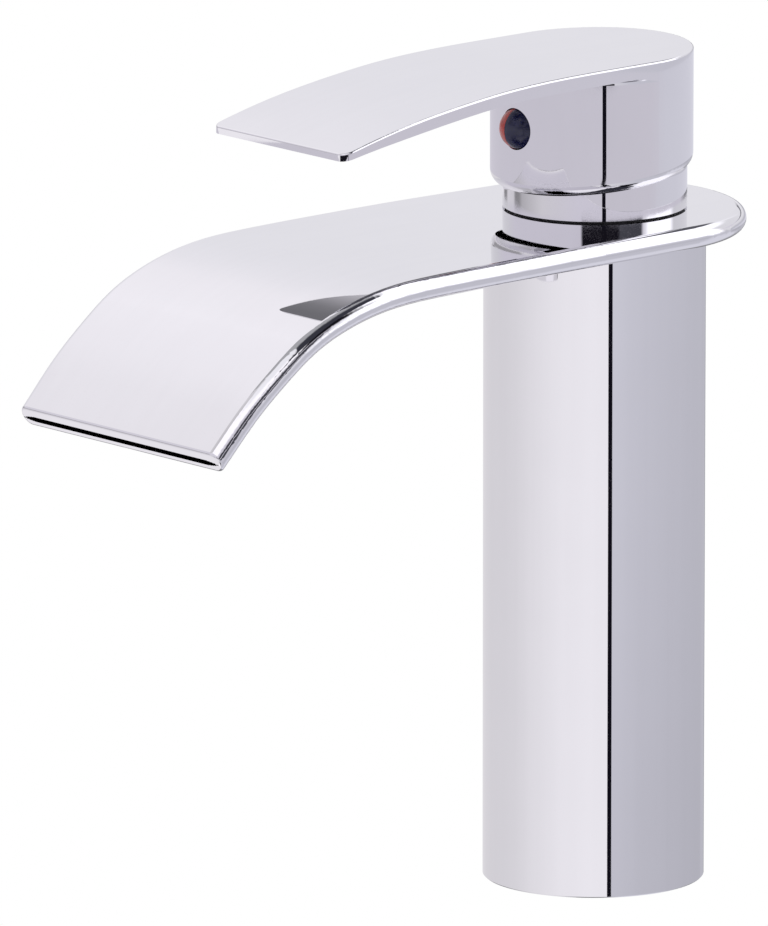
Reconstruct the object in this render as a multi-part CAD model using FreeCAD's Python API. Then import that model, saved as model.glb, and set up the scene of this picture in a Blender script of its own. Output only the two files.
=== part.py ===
import FreeCAD, Part
import math
import os

# Single-lever waterfall basin faucet, in millimetres.
# Frame: +Z up, origin on the body axis at the deck plane, spout and lever towards -Y.
# "s" below is the forward distance from the body axis, s = -y.

os.makedirs("parts", exist_ok=True)

V = FreeCAD.Vector
X = V(1, 0, 0)
Y = V(0, 1, 0)
Z = V(0, 0, 1)
O = V(0, 0, 0)

# ---------------------------------------------------------------- driving dimensions
# column
BODY_R = 25.0            # outer radius of the round column
BODY_WALL = 3.0
BODY_TOP = 148.65        # column top, the spout plate sits on it
BODY_IN_R = BODY_R - BODY_WALL
SEAL_R0, SEAL_R1, SEAL_H = 23.35, 24.35, 1.4   # base seal and its groove in the column's lower rim
FOOT_R, FOOT_H = 22.6, 4.5                     # locating counterbore in the foot

# base insert with the mounting stud thread
INS_Z0, INS_Z1 = 5.0, 15.0
INS_IN_R = 19.1
STUD_R = 4.0             # M8 stud
STUD_POS = (0.0, -12.0)
WEB_Y = -5.5

# spout plate
PLATE_T = 5.15
PLATE_Z = BODY_TOP + PLATE_T / 2.0      # mid plane of the flat part
PLATE_R = 34.05                         # rear half circle
PLATE_BULGE = 35.45                     # half width at mid length
PLATE_TIP_W = 33.8                      # half width just beyond the lip
LIP_S, LIP_Z = 138.5, 119.45            # mid point of the lip face
LIP_TILT = 30.0                         # lip face from vertical, top forward
PLATE_FILLET = 2.55
SLOT_T = 1.35
SLOT_INSET = 1.25
SLOT_TAPER = 3.2                        # the slot runs out to a point over this width at each side
LIP_EDGE = 0.9                          # rounding of the lip's edges
NECK_R = 19.6
HOLE_R = 19.65
# mid line of the plate, forward distance and height, level up to the first point
MID = [(27.0, PLATE_Z), (42.0, 151.12), (58.0, 150.92), (74.0, 150.62), (90.0, 149.5), (102.0, 146.6),
       (112.0, 142.15), (120.0, 136.5), (128.0, 129.8), (136.0, 121.55), (144.0, 113.1)]

# valve body, a brass casting inside the column
VB_LOW_Z = 112.0
VB_R = 20.0
VB_FLANGE_R = 21.95
VB_FLANGE_Z0, VB_FLANGE_Z1 = 138.5, 147.6
VB_TOP = 161.8
SEAT_Z = 134.0           # cartridge seat
CHAMBER_R = 17.6
NUT_THREAD_R = 18.05
NUT_SHOULDER_Z = 157.0
INLET_R = 5.0            # M10x1 hose thread
INLET_X, INLET_Y = 9.0, 4.0
INLET_DEPTH = 13.0
WINDOW_Z0, WINDOW_Z1 = PLATE_Z - 0.9, PLATE_Z + 0.9

# 35 mm ceramic disc cartridge
CART_R = 17.4
BASE_TOP = 140.0
DISC_R, DISC_H = 13.5, 3.4
MOV_R, MOV_H = 10.6, 3.4
HOUS_IN_R = 15.3
HOUS_CEIL = 156.6
HOUS_NECK_R, HOUS_NECK_IN = 14.2, 10.9
HOUS_TOP = 162.1
ROTOR_NECK_R = 10.84
ROTOR_TOP = 163.5
PIVOT_Z = 158.0
STEM_ARM = 8.4           # pivot to the centre of the stem's ball
BALL_R = 2.4
STEM_SQ = 8.0
STEM_TOP = 183.0
PIN_R = 1.5

# retaining nut and collar
NUT_R0, NUT_R1 = 14.35, 18.0
NUT_TOP = 161.7
COLLAR_R = 20.76
COLLAR_Z0 = BODY_TOP + PLATE_T
COLLAR_CYL_TOP = 162.7
COLLAR_TOP = 164.6
COLLAR_HOLE = 14.9
COLLAR_FOOT = 0.4        # gap under its outer rim, in which the seal shows as a dark line

# lever handle
HUB_R = 22.8
HUB_OFF = 0.95           # hub axis forward of the body axis
HUB_WALL = 1.1
HUB_CEIL = 184.6
HUB_CUT_Z, HUB_CUT_SLOPE = 162.0, -0.130     # slanted lower edge
HUB_EDGE_R = 2.7
LEVER_TIP_S = 92.9
LEVER_CORNER = 2.4       # plan radius of the tip's corners
LEVER_TOP = [(-26.0, 190.7), (-12.0, 190.3), (3.0, 190.12), (18.0, 190.05), (31.0, 189.8), (45.0, 189.0), (57.5, 187.6),
             (73.5, 185.15), (87.5, 182.1), (100.0, 178.6)]
BLADE_T = [(-26.0, 3.3), (26.0, 3.3), (45.0, 3.05), (66.0, 2.95), (79.0, 2.75), (84.0, 2.4), (88.0, 2.0), (92.4, 1.5), (100.0, 1.2)]
BOSS_X, BOSS_Y0, BOSS_Y1, BOSS_Z0 = 7.6, -13.0, 7.6, 169.2
LEVER_EDGE = 0.42        # rounding of the blade's upper edges
ROOT_R = 1.2             # concave rounding under the blade's root
PLUG_Z, PLUG_R = 174.3, 4.75
DOME_R, DOME_H = 4.62, 3.6   # the two coloured halves form one low dome


def write(name, shape):
    if not shape.isValid():
        print("INVALID", name)
    sol = shape.Solids
    if len(sol) == 1:
        shape = sol[0]
    else:
        shape = Part.makeCompound(sol)
    shape.exportStep("parts/%s.step" % name)
    bb = shape.BoundBox
    print("%-26s solids %d vol %9.1f  x %.2f %.2f  y %.2f %.2f  z %.2f %.2f" % (
        name, len(sol), shape.Volume, bb.XMin, bb.XMax, bb.YMin, bb.YMax, bb.ZMin, bb.ZMax))


def cyl(r, z0, z1, x=0.0, y=0.0):
    return Part.makeCylinder(r, z1 - z0, V(x, y, z0), Z)


def ring(r0, r1, z0, z1, x=0.0, y=0.0):
    return cyl(r1, z0, z1, x, y).cut(cyl(r0, z0 - 1, z1 + 1, x, y))


def box(x0, x1, y0, y1, z0, z1):
    return Part.makeBox(x1 - x0, y1 - y0, z1 - z0, V(x0, y0, z0))


def revolve(points):
    """Full turn about Z of a closed polygon of (r, z) points."""
    w = Part.makePolygon([V(r, 0, z) for r, z in points] + [V(points[0][0], 0, points[0][1])])
    return Part.Face(w).revolve(O, Z, 360)


def spline(points, t0=None, t1=None):
    c = Part.BSplineCurve()
    if t0 is None:
        c.interpolate(Points=points)
    else:
        c.interpolate(Points=points, InitialTangent=t0, FinalTangent=t1)
    return c


def edges_near(shape, test):
    return [e for e in shape.Edges if test(e)]


# ---------------------------------------------------------------- column
column = ring(BODY_IN_R, BODY_R, 0, BODY_TOP)
column = column.cut(ring(SEAL_R0 - 0.05, SEAL_R1 + 0.05, -1, SEAL_H + 0.1))
outer_low = [e for e in column.Edges if abs(e.BoundBox.ZMax) < 1e-6 and e.BoundBox.XMax > BODY_R - 0.01]
column = column.makeChamfer(0.25, outer_low)
column = column.cut(cyl(FOOT_R, -1, FOOT_H))
write("body_column", column)

base_seal = ring(SEAL_R0, SEAL_R1, 0, SEAL_H)
write("base_seal", base_seal)

# threaded ring in the foot of the column, with a web that takes the mounting stud
insert = ring(INS_IN_R, BODY_IN_R - 0.05, INS_Z0, INS_Z1)
web = cyl(INS_IN_R + 0.5, INS_Z0, INS_Z1).common(box(-30, 30, -30, WEB_Y, INS_Z0, INS_Z1))
insert = insert.fuse(web).removeSplitter()
insert = insert.cut(cyl(STUD_R, INS_Z0 - 1, INS_Z1 + 1, *STUD_POS))
# four spanner notches in its lower face
for k in range(4):
    n = box(BODY_IN_R - 2.2, BODY_IN_R + 1, -1.5, 1.5, INS_Z0 - 1, INS_Z0 + 2.0)
    n.rotate(O, Z, 45 + 90 * k)
    insert = insert.cut(n)
write("base_insert", insert)

# ---------------------------------------------------------------- valve body
vb = cyl(VB_R, VB_LOW_Z, VB_FLANGE_Z0 + 1).fuse(cyl(VB_FLANGE_R, VB_FLANGE_Z0, VB_FLANGE_Z1)).fuse(cyl(NECK_R, VB_FLANGE_Z1 - 1, VB_TOP)).removeSplitter()
vb = vb.cut(cyl(CHAMBER_R, SEAT_Z, VB_TOP + 1))
vb = vb.cut(cyl(NUT_THREAD_R, NUT_SHOULDER_Z, VB_TOP + 1))
for sx in (-1, 1):
    # hose thread, then the inclined passage to the cartridge's inlet port
    vb = vb.cut(cyl(INLET_R, VB_LOW_Z - 1, VB_LOW_Z + INLET_DEPTH, sx * INLET_X, INLET_Y))
    a = V(sx * INLET_X, INLET_Y, VB_LOW_Z + INLET_DEPTH - 1.0)
    b = V(sx * 7.0, 4.5, SEAT_Z + 1.0)
    d = b - a
    vb = vb.cut(Part.makeCylinder(3.0, d.Length, a, d))
# outlet pocket in the seat, and the riser grooves that lead the mixed water up beside the cartridge
vb = vb.cut(cyl(3.6, SEAT_Z - 5.0, SEAT_Z + 0.5, 0, -8.0))
vb = vb.cut(box(-3.6, 3.6, -16.5, -8.0, SEAT_Z - 5.0, SEAT_Z + 0.5))
riser = ring(CHAMBER_R - 0.5, 18.55, SEAT_Z - 0.01, WINDOW_Z1)
wedge = Part.makePolygon([V(0, 0, SEAT_Z - 1), V(-30, -36, SEAT_Z - 1), V(30, -36, SEAT_Z - 1), V(0, 0, SEAT_Z - 1)])
wedge = Part.Face(wedge).extrude(V(0, 0, 40))
vb = vb.cut(riser.common(wedge))
# gallery groove all round at the plate's height, and eight windows through the neck into the hollow plate
vb = vb.cut(ring(CHAMBER_R - 0.5, 18.55, WINDOW_Z0, WINDOW_Z1))
for k in range(8):
    w = box(12, 25, -4.6, 4.6, WINDOW_Z0, WINDOW_Z1)
    w.rotate(O, Z, 22.5 + 45 * k)
    vb = vb.cut(w)
# two blind holes for the cartridge's locating pins
for sx in (-1, 1):
    vb = vb.cut(cyl(1.55, SEAT_Z - 2.4, SEAT_Z + 1, sx * 13.2, -3.0))
write("valve_body", vb)


# ---------------------------------------------------------------- spout plate
def offset_line(mid, off):
    """Points of the mid line moved by off along its normal, in (s, z)."""
    c = spline([V(0, -s, z) for s, z in mid], V(0, -1, 0), V(0, -1, -1.09))
    out = []
    n = 26
    for i in range(n + 1):
        u = c.FirstParameter + (c.LastParameter - c.FirstParameter) * i / n
        p = c.value(u)
        t = c.tangent(u)[0]
        nrm = V(0, t.z, -t.y)
        if nrm.z < 0:
            nrm = nrm * -1
        out.append(p + nrm * off)
    return out, c


def plate_section(half_t, rear):
    """Extruded (along X) section of the plate, half_t above and below its mid line."""
    up, c = offset_line(MID, half_t)
    lo, c = offset_line(MID, -half_t)
    tend = c.tangent(c.LastParameter)[0]
    cu = spline(up, V(0, -1, 0), tend)
    cl = spline(lo, V(0, -1, 0), tend)
    p0 = V(0, rear, PLATE_Z + half_t)
    p1 = V(0, rear, PLATE_Z - half_t)
    es = [Part.LineSegment(p0, up[0]).toShape(), cu.toShape(), Part.LineSegment(up[-1], lo[-1]).toShape(),
          cl.toShape(), Part.LineSegment(lo[0], p1).toShape(), Part.LineSegment(p1, p0).toShape()]
    w = Part.Wire(Part.__sortEdges__(es))
    f = Part.Face(w)
    f.translate(V(-60, 0, 0))
    return f.extrude(V(120, 0, 0))


def lip_cut():
    """The space in front of the tilted lip face."""
    t = math.radians(LIP_TILT)
    d = V(0, -math.sin(t), math.cos(t))        # along the face, upwards and forwards
    n = V(0, -math.cos(t), -math.sin(t))       # out of the face
    p = V(0, -LIP_S, LIP_Z)
    a, b = p + d * 30, p - d * 30
    w = Part.makePolygon([a, b, b + n * 60, a + n * 60, a])
    f = Part.Face(w)
    f.translate(V(-60, 0, 0))
    return f.extrude(V(120, 0, 0))


def plate_outline(inset, rear_r):
    """Plan view face: half circle behind, gently bulged sides, straight lip beyond the cut."""
    a = math.radians(2.7)
    r = rear_r
    pr = V(r * math.cos(a), r * math.sin(a), 0)
    pl = V(-pr.x, pr.y, 0)
    e = [Part.Arc(pr, V(0, r, 0), pl).toShape()]
    tip = -152.0
    wt = PLATE_TIP_W - 0.2 - inset
    wb = PLATE_BULGE - inset
    e.append(Part.Arc(pl, V(-wb, -68.0, 0), V(-wt, tip, 0)).toShape())
    e.append(Part.LineSegment(V(-wt, tip, 0), V(wt, tip, 0)).toShape())
    e.append(Part.Arc(V(wt, tip, 0), V(wb, -68.0, 0), pr).toShape())
    w = Part.Wire(Part.__sortEdges__(e))
    f = Part.Face(w)
    f.translate(V(0, 0, 90))
    return f.extrude(V(0, 0, 90))


plate = plate_section(PLATE_T / 2.0, 50).common(plate_outline(0.0, PLATE_R))
side_edges = []
for e in plate.Edges:
    bb = e.BoundBox
    if bb.YMin < -151.9 and bb.YMax < -100:
        continue                                   # the end beyond the lip
    if bb.ZMax - bb.ZMin > 1 and bb.YMax - bb.YMin < 0.5:
        continue                                   # short vertical edges
    side_edges.append(e)
horizontal = []
for e in side_edges:
    m = e.valueAt((e.FirstParameter + e.LastParameter) / 2.0)
    if abs(m.x) > 5 or m.y > 20:
        # keep only the edges that run along the rim
        if e.Length > 8 and not (abs(m.y) < 148 and (e.BoundBox.XMax - e.BoundBox.XMin) > 60 and e.BoundBox.YMax - e.BoundBox.YMin < 1):
            horizontal.append(e)
print("rim edges", len(horizontal), [round(e.Length, 1) for e in horizontal])
plate = plate.makeFillet(PLATE_FILLET, horizontal)
plate = plate.cut(lip_cut())
lip_n = V(0, -math.cos(math.radians(LIP_TILT)), -math.sin(math.radians(LIP_TILT)))


def on_lip(e):
    for k in range(5):
        q = e.valueAt(e.FirstParameter + (e.LastParameter - e.FirstParameter) * k / 4.0)
        if abs((q - V(0, -LIP_S, LIP_Z)).dot(lip_n)) > 1e-3:
            return False
    return True


lip_edges = edges_near(plate, on_lip)
print("lip edges", len(lip_edges), [round(e.Length, 2) for e in lip_edges])
plate = plate.makeFillet(LIP_EDGE, lip_edges)
# hollow of the plate: level in the middle, thinning to a point at both sides
cavity = plate_section(SLOT_T / 2.0, 50).common(plate_outline(SLOT_INSET + SLOT_TAPER, 27.0))
STEPS = 4
for k in range(1, STEPS + 1):
    f_ = k / float(STEPS)
    cavity = cavity.fuse(plate_section(SLOT_T / 2.0 * math.sqrt(1.0 - f_ * 0.97), 50).common(
        plate_outline(SLOT_INSET + SLOT_TAPER * (1.0 - f_), 27.0)))
cavity = cavity.removeSplitter()
plate = plate.cut(cavity)
plate = plate.cut(cyl(HOLE_R, 120, 170))
write("spout_plate", plate)

gasket_low = ring(HOLE_R + 0.1, BODY_IN_R - 0.2, VB_FLANGE_Z1, BODY_TOP)
write("spout_gasket_lower", gasket_low)
gasket_up = ring(HOLE_R + 0.02, 20.17, COLLAR_Z0, COLLAR_Z0 + 0.75)
write("spout_gasket_upper", gasket_up)

# ---------------------------------------------------------------- collar
r = COLLAR_TOP - COLLAR_CYL_TOP
collar = cyl(COLLAR_R, COLLAR_Z0, COLLAR_TOP)
top_edge = [e for e in collar.Edges if abs(e.BoundBox.ZMin - COLLAR_TOP) < 1e-6]
collar = collar.makeFillet(r - 0.01, top_edge)
collar = collar.cut(ring(20.2, COLLAR_R + 1, COLLAR_Z0 - 1, COLLAR_Z0 + COLLAR_FOOT))
collar = collar.cut(cyl(HOLE_R, COLLAR_Z0 - 1, VB_TOP + 0.5))
collar = collar.cut(cyl(20.2, COLLAR_Z0 - 1, COLLAR_Z0 + 0.8))
collar = collar.cut(revolve([(0, VB_TOP + 0.4), (19.0, VB_TOP + 0.4), (18.2, COLLAR_TOP - 1.5), (0, COLLAR_TOP - 1.5)]))
collar = collar.cut(cyl(COLLAR_HOLE, COLLAR_Z0, COLLAR_TOP + 1))
write("collar", collar)

# ---------------------------------------------------------------- cartridge retaining nut
nut = ring(NUT_R0, NUT_R1, NUT_SHOULDER_Z + 0.05, NUT_TOP)
for k in range(4):
    n = box(NUT_R0 - 1, NUT_R1 + 1, -2.0, 2.0, NUT_TOP - 1.6, NUT_TOP + 1)
    n.rotate(O, Z, 45 + 90 * k)
    nut = nut.cut(n)
write("cartridge_nut", nut)

# ---------------------------------------------------------------- cartridge base with its ports
base = cyl(CART_R, SEAT_Z + 0.3, BASE_TOP)
PORTS = [(-7.0, 4.5, 3.0), (7.0, 4.5, 3.0), (0.0, -8.0, 3.2)]
for px, py, pr_ in PORTS:
    base = base.cut(cyl(pr_, SEAT_Z - 1, BASE_TOP + 1, px, py))
    base = base.cut(cyl(pr_ + 1.5, SEAT_Z - 1, SEAT_Z + 1.8, px, py))      # seat of the lower seal
    base = base.cut(cyl(pr_ + 1.1, BASE_TOP - 1.2, BASE_TOP + 1, px, py))  # seat of the upper seal
for sx in (-1, 1):
    base = base.fuse(cyl(1.45, SEAT_Z - 2.2, SEAT_Z + 1.0, sx * 13.2, -3.0))
# the outlet port opens sideways to the riser grooves under the base
base = base.cut(box(-3.0, 3.0, -20, -11.0, SEAT_Z - 0.5, SEAT_Z + 2.2))
base = base.removeSplitter()
write("cartridge_base", base)

lower_seals = []
upper_seals = []
for px, py, pr_ in PORTS[:2]:
    lower_seals.append(ring(pr_ + 0.1, pr_ + 1.4, SEAT_Z, SEAT_Z + 1.8, px, py))
for px, py, pr_ in PORTS:
    upper_seals.append(ring(pr_ + 0.05, pr_ + 1.05, BASE_TOP - 1.2, BASE_TOP + 0.04, px, py))
write("inlet_seals", Part.makeCompound(lower_seals))
write("disc_seals", Part.makeCompound(upper_seals))

# ---------------------------------------------------------------- ceramic discs
FIX_Z0 = BASE_TOP + 0.05
fixed = cyl(DISC_R, FIX_Z0, FIX_Z0 + DISC_H)


def arc_port(r_in, r_out, a0, a1, z0, z1):
    """A kidney shaped port: a sector of a ring, angles from +X in degrees."""
    n = 10
    pts = []
    for i in range(n + 1):
        t = math.radians(a0 + (a1 - a0) * i / n)
        pts.append(V(r_out * math.cos(t), r_out * math.sin(t), z0))
    for i in range(n, -1, -1):
        t = math.radians(a0 + (a1 - a0) * i / n)
        pts.append(V(r_in * math.cos(t), r_in * math.sin(t), z0))
    pts.append(pts[0])
    return Part.Face(Part.makePolygon(pts)).extrude(V(0, 0, z1 - z0))


fixed = fixed.cut(arc_port(5.2, 9.2, 12, 72, FIX_Z0 - 1, FIX_Z0 + DISC_H + 1))
fixed = fixed.cut(arc_port(5.2, 9.2, 108, 168, FIX_Z0 - 1, FIX_Z0 + DISC_H + 1))
fixed = fixed.cut(arc_port(4.6, 9.6, 240, 300, FIX_Z0 - 1, FIX_Z0 + DISC_H + 1))
for a in (0, 180):
    n = box(DISC_R - 1.1, DISC_R + 1, -1.6, 1.6, FIX_Z0 - 1, FIX_Z0 + DISC_H + 1)
    n.rotate(O, Z, a)
    fixed = fixed.cut(n)
write("fixed_disc", fixed)

MOV_Z0 = FIX_Z0 + DISC_H + 0.05
MOV_Y = 1.6              # the moving disc rests to the rear of centre when the lever is down
moving = cyl(MOV_R, MOV_Z0, MOV_Z0 + MOV_H, 0, MOV_Y)
moving = moving.cut(cyl(5.6, MOV_Z0 - 1, MOV_Z0 + 1.8, 0, MOV_Y - 1.0))    # mixing chamber in its lower face
for sx in (-1, 1):
    moving = moving.cut(box(min(sx * 6, sx * 9), max(sx * 6, sx * 9), MOV_Y - 1.6, MOV_Y + 1.6, MOV_Z0 + MOV_H - 1.4, MOV_Z0 + MOV_H + 1))
write("moving_disc", moving)

# ---------------------------------------------------------------- slider that carries the moving disc
SL_Z0 = MOV_Z0 + MOV_H
SL_Z1 = SL_Z0 + 1.6
BALL_Z = PIVOT_Z - STEM_ARM
slider = cyl(11.4, SL_Z0, SL_Z1, 0, MOV_Y).common(box(-10.6, 10.6, -30, 30, SL_Z0, SL_Z1))
for sx in (-1, 1):
    slider = slider.fuse(box(min(sx * 6.1, sx * 8.9), max(sx * 6.1, sx * 8.9), MOV_Y - 1.5, MOV_Y + 1.5, MOV_Z0 + MOV_H - 1.3, SL_Z0 + 0.5))
pocket_y0, pocket_y1 = -BALL_R - 0.3, BALL_R + 0.3
slider = slider.fuse(box(-4.4, 4.4, pocket_y0 - 2.2, pocket_y1 + 2.2, SL_Z0, 152.2))
slider = slider.cut(box(-2.75, 2.75, pocket_y0, pocket_y1, SL_Z0 + 0.15, 153))
slider = slider.cut(box(-2.75, 2.75, pocket_y0 - 1.0, pocket_y1 + 1.0, 150.5, 153))
slider = slider.removeSplitter()
write("disc_slider", slider)

# ---------------------------------------------------------------- cartridge housing
housing = cyl(CART_R, BASE_TOP, HOUS_CEIL + 0.4).fuse(cyl(HOUS_NECK_R, HOUS_CEIL, HOUS_TOP)).removeSplitter()
housing = housing.cut(cyl(HOUS_IN_R, BASE_TOP - 1, HOUS_CEIL))
housing = housing.cut(cyl(HOUS_NECK_IN, HOUS_CEIL - 1, HOUS_TOP + 1))
# two keys that hold the fixed disc
for a in (0, 180):
    k_ = box(DISC_R - 0.95, HOUS_IN_R + 0.5, -1.45, 1.45, BASE_TOP, FIX_Z0 + DISC_H - 0.3)
    k_.rotate(O, Z, a)
    housing = housing.fuse(k_)
housing = housing.removeSplitter()
write("cartridge_housing", housing)

# ---------------------------------------------------------------- rotor that carries the stem
ROT_Z0, ROT_Z1 = 152.5, HOUS_CEIL - 0.08
rotor = cyl(15.0, ROT_Z0, ROT_Z1)
for sx in (-1, 1):
    rail = ring(11.4, 15.0, SL_Z0 + 0.2, ROT_Z0 + 0.5).common(box(min(sx * 10.9, sx * 20), max(sx * 10.9, sx * 20), -9.5, 9.5, SL_Z0, ROT_Z0 + 1))
    rotor = rotor.fuse(rail)
rotor = rotor.fuse(cyl(ROTOR_NECK_R, ROT_Z1 - 0.5, ROTOR_TOP)).removeSplitter()
# slot in which the stem tilts
rotor = rotor.cut(box(-4.35, 4.35, -8.3, 8.3, ROT_Z0 + 1.2, ROTOR_TOP + 1))
rotor = rotor.cut(box(-3.3, 3.3, -6.6, 6.6, ROT_Z0 - 1, ROTOR_TOP + 1))
rotor = rotor.cut(Part.makeCylinder(PIN_R, 40, V(-20, 0, PIVOT_Z), X))
# groove of the stem seal
SEAL_Z = 160.9
rotor = rotor.cut(ring(9.25, 12, SEAL_Z - 0.85, SEAL_Z + 0.85))
write("stem_carrier", rotor)
write("carrier_seal", Part.makeTorus(10.06, 0.78, V(0, 0, SEAL_Z), Z))
pin_half = math.sqrt(ROTOR_NECK_R ** 2 - PIN_R ** 2) - 0.15
pin = Part.makeCylinder(PIN_R, 2 * pin_half, V(-pin_half, 0, PIVOT_Z), X)
pin = pin.makeChamfer(0.25, [e for e in pin.Edges if len(e.Vertexes) == 1 and abs(abs(e.CenterOfMass.x) - pin_half) < 1e-3])
write("stem_pin", pin)

# ---------------------------------------------------------------- stem
h = STEM_SQ / 2.0
stem = box(-h, h, -h, h, PIVOT_Z - 2.6, STEM_TOP)
stem = stem.makeChamfer(0.6, [e for e in stem.Edges if abs(e.BoundBox.ZMin - STEM_TOP) < 1e-6])
stem = stem.fuse(box(-2.2, 2.2, -1.6, 1.6, BALL_Z, PIVOT_Z))
stem = stem.fuse(Part.makeSphere(BALL_R, V(0, 0, BALL_Z)))
stem = stem.removeSplitter()
stem = stem.cut(Part.makeCylinder(PIN_R + 0.06, 40, V(-20, 0, PIVOT_Z), X))
# flat for the set screw
stem = stem.cut(box(-5, 5, -h - 1, -h + 0.4, PLUG_Z - 3.2, PLUG_Z + 3.2))
write("stem", stem)


# ---------------------------------------------------------------- lever handle
def lever_curve(points):
    return spline([V(0, -s, z) for s, z in points])


def interp(points, s):
    for (s0, v0), (s1, v1) in zip(points, points[1:]):
        if s0 <= s <= s1:
            return v0 + (v1 - v0) * (s - s0) / (s1 - s0)
    return points[-1][1]


under = [(s, z - interp(BLADE_T, s)) for s, z in LEVER_TOP]
s_mid = [(s, z) for s, z in LEVER_TOP]
top_c = lever_curve(LEVER_TOP)
low_c = lever_curve(under)
top_c_pts = (V(0, -LEVER_TOP[0][0], LEVER_TOP[0][1]), V(0, -LEVER_TOP[-1][0], LEVER_TOP[-1][1]))
low_c_pts = (V(0, -under[0][0], under[0][1]), V(0, -under[-1][0], under[-1][1]))
w = Part.Wire(Part.__sortEdges__([
    top_c.toShape(), Part.LineSegment(top_c_pts[1], low_c_pts[1]).toShape(),
    low_c.toShape(), Part.LineSegment(low_c_pts[0], top_c_pts[0]).toShape()]))
blade = Part.Face(w)
blade.translate(V(-60, 0, 0))
blade = blade.extrude(V(120, 0, 0))


def lever_outline():
    """Plan view: the hub's half circle behind, then parallel sides to a square tip with small corners."""
    r = HUB_R
    c = LEVER_CORNER
    y0 = -HUB_OFF
    yt = -LEVER_TIP_S
    e = [Part.Arc(V(r, y0, 0), V(0, y0 + r, 0), V(-r, y0, 0)).toShape(),
         Part.LineSegment(V(-r, y0, 0), V(-r, yt + c, 0)).toShape(),
         Part.Arc(V(-r, yt + c, 0), V(-r + c * (1 - math.sqrt(0.5)), yt + c * (1 - math.sqrt(0.5)), 0), V(-r + c, yt, 0)).toShape(),
         Part.LineSegment(V(-r + c, yt, 0), V(r - c, yt, 0)).toShape(),
         Part.Arc(V(r - c, yt, 0), V(r - c * (1 - math.sqrt(0.5)), yt + c * (1 - math.sqrt(0.5)), 0), V(r, yt + c, 0)).toShape(),
         Part.LineSegment(V(r, yt + c, 0), V(r, y0, 0)).toShape()]
    f = Part.Face(Part.Wire(Part.__sortEdges__(e)))
    f.translate(V(0, 0, 150))
    return f.extrude(V(0, 0, 60))


blade = blade.common(lever_outline())
upper_rim = []
for e in blade.Edges:
    mids = [e.valueAt(e.FirstParameter + (e.LastParameter - e.FirstParameter) * k / 4.0) for k in range(5)]
    if all(abs(q.z - top_c.value(top_c.parameter(V(0, q.y, q.z))).z) < 0.02 for q in mids) and e.Length > 1:
        upper_rim.append(e)
print("blade upper rim", len(upper_rim), [round(e.Length, 1) for e in upper_rim])
blade = blade.makeFillet(LEVER_EDGE, upper_rim)
hub = cyl(HUB_R, 150, 188.4, 0, -HUB_OFF)
# slanted lower edge
t = HUB_CUT_SLOPE
wedge = Part.makePolygon([V(0, 40, HUB_CUT_Z - t * 40), V(0, -40, HUB_CUT_Z + t * 40), V(0, -40, 120), V(0, 40, 120), V(0, 40, HUB_CUT_Z - t * 40)])
wedge = Part.Face(wedge)
wedge.translate(V(-40, 0, 0))
wedge = wedge.extrude(V(80, 0, 0))
hub = hub.cut(wedge)
low_edges = [e for e in hub.Edges if e.BoundBox.ZMax < 166 and e.Length > 50]
print("hub low edges", len(low_edges))
outer = hub.makeFillet(HUB_EDGE_R, low_edges)
inner = cyl(HUB_R - HUB_WALL, 150, HUB_CEIL, 0, -HUB_OFF)
boss = box(-BOSS_X, BOSS_X, BOSS_Y0, BOSS_Y1, BOSS_Z0, HUB_CEIL + 0.5)
boss = boss.makeFillet(1.2, [e for e in boss.Edges if abs(e.BoundBox.ZMax - e.BoundBox.ZMin) > 5])
# the hollow keeps only a short length of the blade's root
lever = outer.fuse(blade)
# concave rounding where the hub's wall meets the blade's underside
zc = interp(under, HUB_R) - 1.05
arc = Part.Arc(V(HUB_R, 0, zc), V(HUB_R + ROOT_R * (1 - math.sqrt(0.5)), 0, zc + ROOT_R * math.sqrt(0.5)), V(HUB_R + ROOT_R, 0, zc + ROOT_R)).toShape()
pts = [V(HUB_R + ROOT_R, 0, zc + ROOT_R), V(HUB_R + ROOT_R, 0, zc + 1.6), V(HUB_R - 0.5, 0, zc + 1.6), V(HUB_R - 0.5, 0, zc), V(HUB_R, 0, zc)]
root = Part.Face(Part.Wire([arc] + [Part.LineSegment(a_, b_).toShape() for a_, b_ in zip(pts, pts[1:])]))
root = root.revolve(O, Z, -180)
root.translate(V(0, -HUB_OFF, 0))
lever = lever.fuse(root.common(box(-HUB_R, HUB_R, -60, -HUB_OFF, 150, 200)))
lever = lever.removeSplitter()
lever = lever.cut(inner)
lever = lever.fuse(boss).removeSplitter()
lever = lever.cut(box(-h - 0.04, h + 0.04, -h - 0.04, h + 0.04, 150, STEM_TOP + 0.3))
# hole of the index plug in the hub's front, and the set screw thread in the boss
lever = lever.cut(Part.makeCylinder(PLUG_R, 6, V(0, -HUB_OFF - HUB_R + 3.0, PLUG_Z), V(0, -1, 0)))
SCREW_R = 2.5
lever = lever.cut(Part.makeCylinder(SCREW_R, 12, V(0, -3, PLUG_Z), V(0, -1, 0)))
write("lever_handle", lever)

# set screw with a hexagon socket
SC0, SC1 = -4.0, -11.5          # y of its point and of its socket end
screw = Part.makeCylinder(SCREW_R - 0.04, SC0 + 0.35 - SC1, V(0, SC0 + 0.35, PLUG_Z), V(0, -1, 0))
hexa = Part.makePolygon([V(1.45 * math.cos(math.radians(60 * i)), 0, 1.45 * math.sin(math.radians(60 * i))) for i in range(7)])
hexa = Part.Face(hexa).extrude(V(0, 3.0, 0))
hexa.translate(V(0, SC1 - 0.01, PLUG_Z))
screw = screw.cut(hexa)
write("set_screw", screw)

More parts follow.
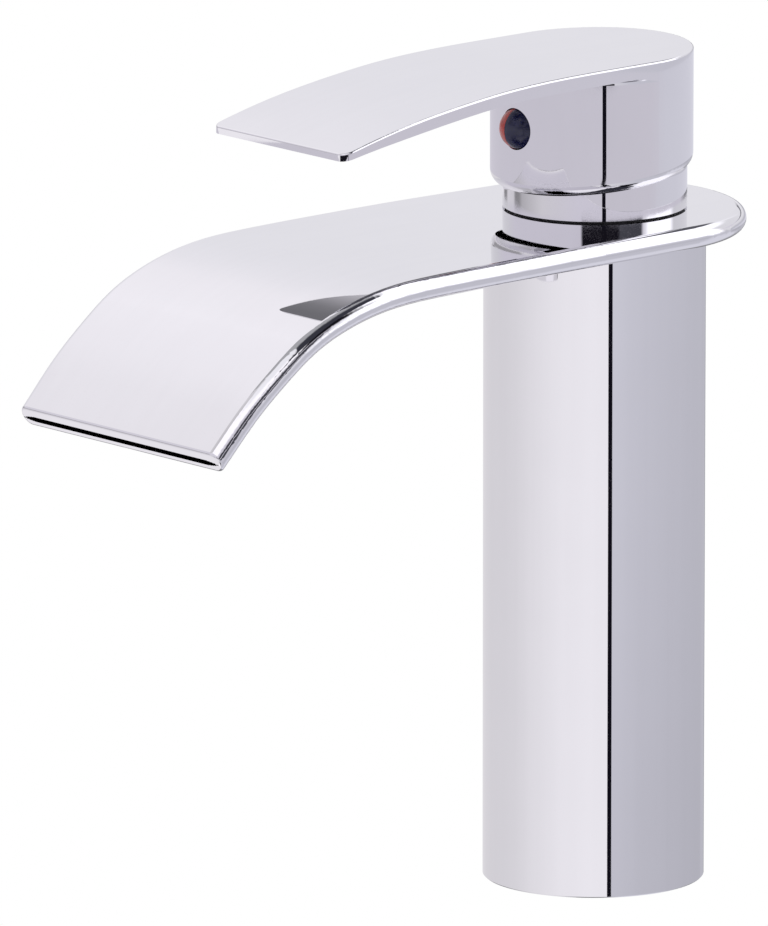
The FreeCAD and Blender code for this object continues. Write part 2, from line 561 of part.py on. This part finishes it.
# ---------------------------------------------------------------- index plug
FACE_Y = -HUB_OFF - HUB_R + 0.5         # its rim, a little inside the round wall
DOME_SPHERE = (DOME_R ** 2 + DOME_H ** 2) / (2.0 * DOME_H)
plug = Part.makeCylinder(PLUG_R - 0.05, 1.5, V(0, FACE_Y + 1.5, PLUG_Z), V(0, -1, 0))
plug = plug.cut(Part.makeCylinder(PLUG_R, 0.5, V(0, FACE_Y + 0.5, PLUG_Z), V(0, -1, 0)))
skirt = Part.makeCylinder(PLUG_R - 0.4, 3.2, V(0, FACE_Y + 4.2, PLUG_Z), V(0, -1, 0)).cut(
    Part.makeCylinder(PLUG_R - 1.4, 3.2, V(0, FACE_Y + 4.7, PLUG_Z), V(0, -1, 0)))
plug = plug.fuse(skirt).removeSplitter()
write("index_plug", plug)
for name, sx in (("index_hot_mark", -1), ("index_cold_mark", 1)):
    m_ = Part.makeCylinder(DOME_R, DOME_H + 1.5, V(0, FACE_Y + 0.5, PLUG_Z), V(0, -1, 0))
    m_ = m_.common(Part.makeSphere(DOME_SPHERE, V(0, FACE_Y - DOME_H + DOME_SPHERE, PLUG_Z)))
    m_ = m_.common(box(min(sx * 0.03, sx * 10), max(sx * 0.03, sx * 10), -40, 0, PLUG_Z - 10, PLUG_Z + 10))
    write(name, m_)
print("done")
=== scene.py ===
import math
import bpy
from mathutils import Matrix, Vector

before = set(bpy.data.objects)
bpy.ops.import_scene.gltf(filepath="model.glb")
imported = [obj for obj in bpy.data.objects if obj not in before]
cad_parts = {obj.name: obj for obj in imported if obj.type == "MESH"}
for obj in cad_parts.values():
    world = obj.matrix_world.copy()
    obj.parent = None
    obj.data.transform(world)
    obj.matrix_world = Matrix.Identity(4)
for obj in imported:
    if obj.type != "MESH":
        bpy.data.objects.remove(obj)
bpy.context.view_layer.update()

scene = bpy.context.scene

# ------------------------------------------------------------------ camera
AZ, EL = 49.5, 12.25
FOCAL_PX = 18000.0
DIST = FOCAL_PX / 4.444 / 1000.0
T, E = math.radians(AZ), math.radians(EL)
RIGHT = Vector((math.cos(T), math.sin(T), 0))
TOWARD = Vector((math.sin(T), -math.cos(T), 0))
BACK = Vector((math.sin(T) * math.cos(E), -math.cos(T) * math.cos(E), math.sin(E)))
TARGET = RIGHT * -0.04726 + Vector((0, 0, 0.09466))
cam_data = bpy.data.cameras.new("camera")
cam = bpy.data.objects.new("camera", cam_data)
scene.collection.objects.link(cam)
cam.location = TARGET + BACK * DIST
cam.rotation_euler = BACK.to_track_quat("Z", "Y").to_euler()
cam_data.sensor_fit = "AUTO"
cam_data.sensor_width = 36.0
cam_data.lens = 36.0 * FOCAL_PX / 926.0
cam_data.clip_start = 0.05
cam_data.clip_end = 50.0
scene.camera = cam

scene.view_settings.view_transform = "Standard"
scene.view_settings.look = "None"
scene.view_settings.exposure = 0.0
scene.view_settings.gamma = 1.0


# ------------------------------------------------------------------ small helpers for node trees
class Net:
    """Builds a node tree with plain expressions. A value is a number or an output socket."""

    def __init__(self, nt):
        self.nt = nt
        self.nt.nodes.clear()

    def node(self, kind, **props):
        n = self.nt.nodes.new(kind)
        for k, v in props.items():
            setattr(n, k, v)
        return n

    def put(self, socket, value):
        if isinstance(value, bpy.types.NodeSocket):
            self.nt.links.new(value, socket)
        else:
            socket.default_value = value

    def math(self, op, a, b=0.0, c=0.0, clamp=False):
        n = self.node("ShaderNodeMath", operation=op, use_clamp=clamp)
        self.put(n.inputs[0], a)
        self.put(n.inputs[1], b)
        self.put(n.inputs[2], c)
        return n.outputs[0]

    def add(self, a, b):
        return self.math("ADD", a, b)

    def sub(self, a, b):
        return self.math("SUBTRACT", a, b)

    def mul(self, a, b):
        return self.math("MULTIPLY", a, b)

    def span(self, x, lo, hi, to0=0.0, to1=1.0, kind="SMOOTHSTEP"):
        n = self.node("ShaderNodeMapRange", interpolation_type=kind, clamp=True)
        self.put(n.inputs["Value"], x)
        n.inputs["From Min"].default_value = lo
        n.inputs["From Max"].default_value = hi
        n.inputs["To Min"].default_value = to0
        n.inputs["To Max"].default_value = to1
        return n.outputs["Result"]

    def window(self, x, lo, hi, soft):
        """1 between lo and hi, 0 outside, with soft edges."""
        return self.mul(self.span(x, lo - soft, lo + soft), self.span(x, hi - soft, hi + soft, 1.0, 0.0))

    def ramp(self, x, lo, hi, stops, interpolation="EASE"):
        """Piecewise colour over x from lo to hi; stops are (x, value or colour)."""
        f = self.span(x, lo, hi, kind="LINEAR")
        n = self.node("ShaderNodeValToRGB")
        self.put(n.inputs[0], f)
        cr = n.color_ramp
        cr.interpolation = interpolation
        while len(cr.elements) > 1:
            cr.elements.remove(cr.elements[-1])
        for i, (p, v) in enumerate(stops):
            if not isinstance(v, (tuple, list)):
                v = (v, v, v)
            q = (p - lo) / (hi - lo)
            el = cr.elements[0] if i == 0 else cr.elements.new(q)
            el.position = q
            el.color = (*v, 1.0)
        return n.outputs["Color"]

    def mix(self, f, a, b, blend="MIX"):
        n = self.node("ShaderNodeMix", data_type="RGBA", blend_type=blend, clamp_factor=True)
        self.put(n.inputs["Factor"], f)
        for s, v in ((n.inputs[6], a), (n.inputs[7], b)):
            if isinstance(v, (int, float)):
                v = (v, v, v, 1.0)
            elif isinstance(v, (tuple, list)) and len(v) == 3:
                v = (*v, 1.0)
            self.put(s, v)
        return n.outputs[2]

    def dot(self, vec, d):
        n = self.node("ShaderNodeVectorMath", operation="DOT_PRODUCT")
        self.put(n.inputs[0], vec)
        n.inputs[1].default_value = tuple(d)
        return n.outputs["Value"]


# ------------------------------------------------------------------ studio: a soft light tent, drawn by direction
def left(v):
    """A slightly rosy grey, the light on the left."""
    return (v, v * 0.978, v * 1.016)


def top(v):
    """The grey of the ceiling, a little blue."""
    return (v, v * 0.992, v * 1.038)


def right(v):
    """The bluer grey on the right."""
    return (v, v * 0.994, v * 1.100)


def hubc(v):
    return (v, v * 0.965, v * 1.070)


DARK = (0.010, 0.009, 0.014)

world = bpy.data.worlds.new("studio")
scene.world = world
world.use_nodes = True
w = Net(world.node_tree)
tc = w.node("ShaderNodeTexCoord")
d = tc.outputs["Generated"]
dr, df, dz = w.dot(d, RIGHT), w.dot(d, TOWARD), w.dot(d, (0, 0, 1))
ang = w.mul(w.math("ARCTAN2", dr, df), 180.0 / math.pi)         # 0 towards the camera's side, + to its right
elv = w.mul(w.math("ARCSINE", dz), 180.0 / math.pi)
back = w.mul(w.math("ARCTAN2", dr, w.mul(df, -1.0)), 180.0 / math.pi)   # 0 away from the camera, + to its right

# the walls that upright chrome sees, a little below the horizon
low = w.ramp(ang, -180.0, 180.0, [
    (-180.0, left(0.80)), (-150.0, left(0.80)), (-105.0, left(0.82)), (-89.0, left(0.845)), (-65.0, left(0.925)),
    (-38.0, left(1.0)), (-6.0, left(1.035)), (14.0, left(1.03)), (18.0, right(0.71)), (50.0, right(0.655)),
    (120.0, right(0.60)), (165.0, right(0.55)), (172.0, right(0.32)), (180.0, right(0.30))], "LINEAR")
# the right wall darkens towards its foot
fade = w.ramp(elv, -13.7, -11.6, [(-13.7, 0.925), (-12.7, 0.99), (-11.6, 1.04)], "LINEAR")
low = w.mix(w.window(ang, 17.0, 150.0, 1.0), low, w.mix(1.0, low, fade, "MULTIPLY"))
# straight below: the floor seen in overhanging faces
floor_part = w.ramp(ang, -180.0, 180.0, [
    (-180.0, top(0.235)), (-160.0, top(0.24)), (-144.0, left(0.98)), (-60.0, left(0.98)), (0.0, left(0.9)),
    (56.0, right(0.66)), (98.0, right(0.65)), (112.0, right(0.82)), (146.0, right(0.80)), (164.0, top(0.26)), (180.0, top(0.235))], "LINEAR")
# a little above the horizon
rim = w.ramp(ang, -180.0, 180.0, [
    (-180.0, top(0.88)), (-140.0, top(0.82)), (-120.0, hubc(0.81)), (-30.0, hubc(0.80)), (-10.0, hubc(0.76)), (60.0, hubc(0.74)),
    (66.0, top(1.1)), (70.0, top(1.6)), (108.0, top(1.6)), (116.0, top(0.86)), (180.0, top(0.88))], "LINEAR")
# the upper tent
high = w.ramp(ang, -180.0, 180.0, [
    (-180.0, top(0.97)), (-166.0, left(1.05)), (-146.0, left(1.09)), (-132.0, left(1.055)), (-120.0, left(0.985)), (-112.0, left(0.76)),
    (-86.0, left(0.64)), (-78.0, left(1.3)), (-26.0, left(1.3)), (-20.0, left(1.3)), (38.0, left(1.3)), (43.0, DARK), (66.0, DARK),
    (70.0, top(0.45)), (79.0, top(1.6)), (152.0, top(1.6)), (164.0, top(1.0)), (180.0, top(0.97))], "LINEAR")
c = w.mix(w.span(elv, -26.0, -15.0, 1.0, 0.0), low, floor_part)
c = w.mix(w.span(elv, -4.0, 5.0), c, rim)
# nearly straight below: what the column sees by way of the lip's underside
c = w.mix(w.mul(w.window(ang, -66.0, -16.0, 5.0), w.span(elv, -62.0, -55.0, 1.0, 0.0)), c, left(1.28))
# a darker strip along the horizon behind and to the left
strip = w.mul(w.window(ang, -150.0, -88.0, 5.0), w.window(elv, -4.0, 8.0, 3.0))
c = w.mix(strip, c, left(0.42))
# the ceiling brightens steadily upwards behind the object
c = w.mix(w.mul(w.span(elv, 13.0, 36.0, kind="LINEAR"), w.window(back, -60.0, 22.0, 4.0)), c, high)
front = w.window(ang, -80.0, 34.0, 3.0)
rise = w.math("ADD", w.mul(front, w.span(elv, 37.0, 46.0)), w.mul(w.sub(1.0, front), w.span(elv, 27.0, 39.0)))
c = w.mix(rise, c, high)
# dark flag low on the camera's side
flag = w.mul(w.window(ang, -17.0, 56.0, 2.0), w.window(elv, 5.5, 17.5, 1.2))
c = w.mix(flag, c, DARK)
flag = w.mul(w.window(ang, 30.0, 61.0, 2.5), w.window(elv, -1.0, 29.0, 2.5))
c = w.mix(flag, c, (0.075, 0.075, 0.09))
# dark flag behind to the right: the thin dark line beside the white one on the near rims
flag2 = w.mul(w.window(back, 1.5, 44.0, 1.5), w.window(elv, 14.0, 52.0, 2.0))
flag2 = w.mul(flag2, w.span(w.sub(elv, w.mul(back, 0.8)), 17.5, 21.0))
c = w.mix(flag2, c, (0.12, 0.12, 0.14))
c = w.mix(w.span(elv, 57.0, 68.0), c, top(1.05))
# dark strip across the zenith: the dark wedge on the near rim where the plate bends down
across = w.sub(df, w.mul(dr, 1.05))
start = w.span(across, -0.35, 0.10, 56.0, 48.0)
wedge = w.mul(w.window(across, -0.60, 0.30, 0.04), w.span(w.sub(elv, start), -2.0, 2.0))
deep = w.mix(w.span(w.add(dr, df), -0.28, 0.20), (0.46, 0.46, 0.48), (0.045, 0.045, 0.06))
c = w.mix(wedge, c, deep)
# the narrow gap between the two front walls: the one dark line on the upright chrome
GAP = math.radians(16.0)
gap_f = TOWARD * math.cos(GAP) + RIGHT * math.sin(GAP)
gap_n = RIGHT * math.cos(GAP) - TOWARD * math.sin(GAP)
side = w.math("ABSOLUTE", w.dot(d, gap_n))
half = w.math("MINIMUM", w.span(elv, -36.0, -22.0, 0.17, 0.036), w.span(elv, -70.0, -42.0, 0.04, 0.17))
edge = w.math("SUBTRACT", half, side)
inside = w.mul(w.span(edge, -0.004, 0.003), w.math("GREATER_THAN", w.dot(d, gap_f), 0.0))
inside = w.mul(inside, w.window(elv, -80.0, 1.0, 2.0))
c = w.mix(inside, c, (0.006, 0.005, 0.010))
lp = w.node("ShaderNodeLightPath")
c = w.mix(lp.outputs["Is Camera Ray"], c, (1.0, 1.0, 1.0))
bg = w.node("ShaderNodeBackground")
w.put(bg.inputs["Color"], c)
bg.inputs["Strength"].default_value = 1.0
wo = w.node("ShaderNodeOutputWorld")
w.put(wo.inputs["Surface"], bg.outputs[0])


# ------------------------------------------------------------------ rings of card around the faucet
def card(name, z0, z1):
    """A plain cylinder band around the faucet, lit from its material and seen only in reflections."""
    seg = 180
    r_ = 0.5
    rv = []
    for i in range(seg):
        t_ = 2 * math.pi * i / seg
        rv += [(r_ * math.cos(t_), r_ * math.sin(t_), z0), (r_ * math.cos(t_), r_ * math.sin(t_), z1)]
    rf = [(2 * i, 2 * i + 1, 2 * ((i + 1) % seg) + 1, 2 * ((i + 1) % seg)) for i in range(seg)]
    me = bpy.data.meshes.new(name)
    me.from_pydata(rv, [], rf)
    ob_ = bpy.data.objects.new(name, me)
    scene.collection.objects.link(ob_)
    mat_ = bpy.data.materials.new(name)
    mat_.use_nodes = True
    k_ = Net(mat_.node_tree)
    pos = k_.node("ShaderNodeNewGeometry").outputs["Position"]
    kr, kf, kz = k_.dot(pos, RIGHT), k_.dot(pos, TOWARD), k_.dot(pos, (0, 0, 1))
    kang = k_.mul(k_.math("ARCTAN2", kr, kf), 180.0 / math.pi)
    me.materials.append(mat_)
    ob_.visible_camera = False
    ob_.visible_diffuse = False
    ob_.visible_shadow = False
    ob_.visible_transmission = False
    return k_, kang, kz


def card_out(k_, col, cover):
    ke = k_.node("ShaderNodeEmission")
    k_.put(ke.inputs["Color"], col)
    kt = k_.node("ShaderNodeBsdfTransparent")
    km = k_.node("ShaderNodeMixShader")
    k_.put(km.inputs[0], cover)
    k_.put(km.inputs[1], kt.outputs[0])
    k_.put(km.inputs[2], ke.outputs[0])
    ko = k_.node("ShaderNodeOutputMaterial")
    k_.put(ko.inputs[0], km.outputs[0])


# lower ring: what the hub and the collar reflect
k, kang, kz = card("card_low", 0.050, 0.118)
hub_band = k.ramp(kang, -180.0, 180.0, [
    (-180.0, hubc(0.70)), (-60.0, hubc(0.69)), (12.0, hubc(0.70)), (17.0, hubc(0.68)), (70.0, hubc(0.69)), (90.0, right(0.72)), (150.0, right(0.745)), (180.0, right(0.75))], "LINEAR")
kgap = k.math("ABSOLUTE", k.sub(kang, k.span(kz, 0.0655, 0.0685, 10.4, 13.2)))
hub_band = k.mix(k.span(kgap, 1.9, 2.4, 1.0, 0.0), hub_band, (0.006, 0.005, 0.010))
top_band = k.ramp(kang, -180.0, 180.0, [
    (-180.0, left(0.98)), (-72.0, left(1.04)), (-64.0, left(0.9)), (-60.0, DARK), (22.0, DARK), (30.0, right(0.66)), (180.0, right(0.66))], "LINEAR")
kc = k.mix(k.span(kz, 0.0936, 0.0940), hub_band, top_band)
card_out(k, kc, k.mul(k.span(kz, 0.0525, 0.0555), k.span(kz, 0.100, 0.116, 1.0, 0.0)))

# upper ring: what the collar sees by way of the plate
u, uang, uz = card("card_high", 0.222, 0.2508)
band = u.ramp(uang, -180.0, 180.0, [
    (-180.0, left(1.05)), (-158.0, left(1.0)), (-151.0, left(0.32)), (-143.0, left(0.32)), (-137.0, left(0.9)), (-121.0, left(0.85)), (-116.0, left(0.34)),
    (-108.0, left(0.36)), (-102.0, left(0.60)), (-68.0, left(0.86)), (-20.0, hubc(0.86)), (60.0, hubc(0.83)), (132.0, hubc(0.80)), (150.0, right(0.22)),
    (180.0, right(0.25))], "LINEAR")
ugap = u.math("ABSOLUTE", u.sub(uang, 10.8))
band = u.mix(u.span(ugap, 2.1, 2.7, 1.0, 0.0), band, (0.006, 0.005, 0.010))
card_out(u, band, u.mul(u.span(uz, 0.2225, 0.238), u.window(uang, -172.0, 172.0, 2.0)))

# ------------------------------------------------------------------ floor
mesh = bpy.data.meshes.new("floor")
s = 6.0
mesh.from_pydata([(-s, -s, 0), (s, -s, 0), (s, s, 0), (-s, s, 0)], [], [(0, 1, 2, 3)])
floor = bpy.data.objects.new("floor", mesh)
scene.collection.objects.link(floor)
fm = bpy.data.materials.new("floor_white")
fm.use_nodes = True
f = Net(fm.node_tree)
fo = f.node("ShaderNodeOutputMaterial")
fe = f.node("ShaderNodeEmission")
fe.inputs["Color"].default_value = (1, 1, 1, 1)
f.put(fo.inputs[0], fe.outputs[0])
mesh.materials.append(fm)
floor.visible_glossy = False
floor.visible_diffuse = False

# ------------------------------------------------------------------ materials
def new_mat(name, color, rough, metallic=0.0):
    m = bpy.data.materials.new(name)
    m.use_nodes = True
    m.diffuse_color = (*color, 1.0)
    n = Net(m.node_tree)
    out = n.node("ShaderNodeOutputMaterial")
    bs = n.node("ShaderNodeBsdfPrincipled")
    bs.inputs["Base Color"].default_value = (*color, 1.0)
    bs.inputs["Roughness"].default_value = rough
    bs.inputs["Metallic"].default_value = metallic
    n.put(out.inputs[0], bs.outputs[0])
    co_ = n.node("ShaderNodeTexCoord").outputs["Object"]
    return m, n, bs, co_


def noise(n, vec, scale, detail=2.0, stretch=None, rough=0.5):
    if stretch:
        mp = n.node("ShaderNodeMapping")
        n.put(mp.inputs["Vector"], vec)
        mp.inputs["Scale"].default_value = stretch
        vec = mp.outputs["Vector"]
    t_ = n.node("ShaderNodeTexNoise")
    n.put(t_.inputs["Vector"], vec)
    t_.inputs["Scale"].default_value = scale
    t_.inputs["Detail"].default_value = detail
    t_.inputs["Roughness"].default_value = rough
    return t_.outputs["Fac"]


def bump(n, bs, height, strength, distance, before=None):
    b_ = n.node("ShaderNodeBump")
    b_.inputs["Strength"].default_value = strength
    b_.inputs["Distance"].default_value = distance
    n.put(b_.inputs["Height"], height)
    if before is not None:
        n.put(b_.inputs["Normal"], before)
    if bs is not None:
        n.put(bs.inputs["Normal"], b_.outputs[0])
    return b_.outputs[0]


def vary(n, f, color, k0, k1):
    return n.mix(f, tuple(v * k0 for v in color), tuple(min(1.0, v * k1) for v in color))


CHROME = (0.78, 0.775, 0.80)


def chrome_mat(name, streak):
    """Bright chrome plate with the faint blotches and drawn streaks that polishing leaves."""
    m, n, bs, oc = new_mat(name, CHROME, 0.02, 1.0)
    blot = noise(n, oc, 60.0, 3.0)
    fine = noise(n, oc, 900.0, 2.0)
    n.put(bs.inputs["Roughness"], n.add(n.span(blot, 0.35, 0.65, 0.012, 0.028), n.span(fine, 0.4, 0.6, 0.0, 0.006)))
    lines = noise(n, oc, 1.0, 3.0, streak)
    both = n.add(n.mul(n.span(blot, 0.3, 0.7), 0.5), n.mul(n.span(lines, 0.3, 0.7), 0.5))
    n.put(bs.inputs["Base Color"], vary(n, both, CHROME, 0.99, 1.01))
    bump(n, bs, n.add(noise(n, oc, 35.0, 1.0), n.mul(lines, 0.15)), 0.05, 0.00003)
    return m


M = {}
M["chrome"] = chrome_mat("chrome_plate", (420.0, 420.0, 5.0))
M["chrome_flat"] = chrome_mat("chrome_plate_long", (300.0, 12.0, 60.0))


def rubber(name):
    m, n, bs, oc = new_mat(name, (0.022, 0.022, 0.024), 0.62)
    a_ = noise(n, oc, 700.0, 4.0)
    n.put(bs.inputs["Roughness"], n.span(a_, 0.3, 0.7, 0.52, 0.75))
    n.put(bs.inputs["Base Color"], vary(n, noise(n, oc, 150.0, 3.0), (0.022, 0.022, 0.024), 0.75, 1.4))
    bs.inputs["Specular IOR Level"].default_value = 0.4
    bump(n, bs, a_, 0.25, 0.00006)
    return m


M["rubber_black"] = rubber("nitrile_rubber")


def brass(name, cast):
    base = (0.72, 0.53, 0.25)
    m, n, bs, oc = new_mat(name, base, 0.32, 1.0)
    tone = noise(n, oc, 90.0, 4.0)
    grain = noise(n, oc, 1600.0, 3.0)
    tool = noise(n, oc, 1.0, 2.0, (30.0, 30.0, 2600.0))
    n.put(bs.inputs["Base Color"], n.mix(n.span(tone, 0.35, 0.7), (0.74, 0.55, 0.27), (0.62, 0.44, 0.20)))
    n.put(bs.inputs["Roughness"], n.add(n.span(tone, 0.3, 0.7, 0.24, 0.40), n.span(grain, 0.35, 0.65, 0.0, 0.08)))
    bump(n, bs, n.add(n.mul(grain, cast), n.mul(tool, 1.0 - cast)), 0.35, 0.00008)
    return m


M["brass_raw"] = brass("brass_turned", 0.25)
M["brass_cast"] = brass("brass_cast", 0.8)


def plastic(name, base, rough):
    m, n, bs, oc = new_mat(name, base, rough)
    flow = noise(n, oc, 45.0, 4.0)
    grain = noise(n, oc, 2200.0, 2.0)
    n.put(bs.inputs["Base Color"], vary(n, flow, base, 0.93, 1.05))
    n.put(bs.inputs["Roughness"], n.add(n.span(flow, 0.3, 0.7, rough - 0.05, rough + 0.05), n.span(grain, 0.3, 0.7, 0.0, 0.05)))
    bs.inputs["Specular IOR Level"].default_value = 0.5
    bump(n, bs, grain, 0.15, 0.00004)
    return m


M["cartridge_plastic"] = plastic("cartridge_plastic", (0.78, 0.78, 0.75), 0.42)
M["carrier_plastic"] = plastic("carrier_plastic", (0.045, 0.12, 0.42), 0.40)


def ceramic(name):
    base = (0.90, 0.89, 0.86)
    m, n, bs, oc = new_mat(name, base, 0.08)
    spots = noise(n, oc, 1200.0, 2.0)
    n.put(bs.inputs["Base Color"], n.mix(n.span(spots, 0.66, 0.74), base, (0.74, 0.72, 0.68)))
    lap = noise(n, oc, 400.0, 3.0)
    n.put(bs.inputs["Roughness"], n.span(lap, 0.3, 0.7, 0.05, 0.13))
    bump(n, bs, lap, 0.05, 0.00002)
    return m


M["ceramic_disc"] = ceramic("alumina_disc")


def steel(name):
    base = (0.58, 0.58, 0.60)
    m, n, bs, oc = new_mat(name, base, 0.3, 1.0)
    brush = noise(n, oc, 1.0, 3.0, (1800.0, 1800.0, 40.0))
    tone = noise(n, oc, 120.0, 3.0)
    n.put(bs.inputs["Base Color"], vary(n, tone, base, 0.9, 1.08))
    n.put(bs.inputs["Roughness"], n.span(brush, 0.3, 0.7, 0.20, 0.38))
    bump(n, bs, brush, 0.2, 0.00004)
    return m


M["steel"] = steel("stainless_steel")


def gloss(name, base, light, rough):
    m, n, bs, oc = new_mat(name, base, rough)
    cloud = noise(n, oc, 260.0, 3.0)
    n.put(bs.inputs["Base Color"], n.mix(n.span(cloud, 0.3, 0.75), base, light))
    n.put(bs.inputs["Roughness"], n.span(cloud, 0.3, 0.7, rough, rough + 0.05))
    bs.inputs["Coat Weight"].default_value = 0.25
    bs.inputs["Coat Roughness"].default_value = 0.12
    bump(n, bs, noise(n, oc, 500.0, 1.0), 0.04, 0.00003)
    return m


M["plug_black"] = gloss("plug_black", (0.010, 0.010, 0.012), (0.020, 0.020, 0.024), 0.22)
M["index_red"] = gloss("index_red", (0.56, 0.030, 0.022), (0.64, 0.060, 0.040), 0.30)
M["index_blue"] = gloss("index_blue", (0.006, 0.008, 0.050), (0.009, 0.012, 0.075), 0.30)

SLOTS = {
    "body_column": "chrome", "spout_plate": "chrome_flat", "collar": "chrome", "lever_handle": "chrome_flat",
    "base_seal": "rubber_black", "spout_gasket_lower": "rubber_black", "spout_gasket_upper": "rubber_black",
    "inlet_seals": "rubber_black", "disc_seals": "rubber_black", "carrier_seal": "rubber_black",
    "base_insert": "brass_raw", "valve_body": "brass_cast", "cartridge_nut": "brass_raw",
    "cartridge_base": "cartridge_plastic", "disc_slider": "cartridge_plastic", "cartridge_housing": "cartridge_plastic",
    "stem_carrier": "carrier_plastic", "fixed_disc": "ceramic_disc", "moving_disc": "ceramic_disc",
    "stem_pin": "steel", "stem": "steel", "set_screw": "steel",
    "index_plug": "plug_black", "index_hot_mark": "index_red", "index_cold_mark": "index_blue"}
for n_, slot in SLOTS.items():
    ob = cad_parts[n_]
    ob.data.materials.clear()
    ob.data.materials.append(M[slot])
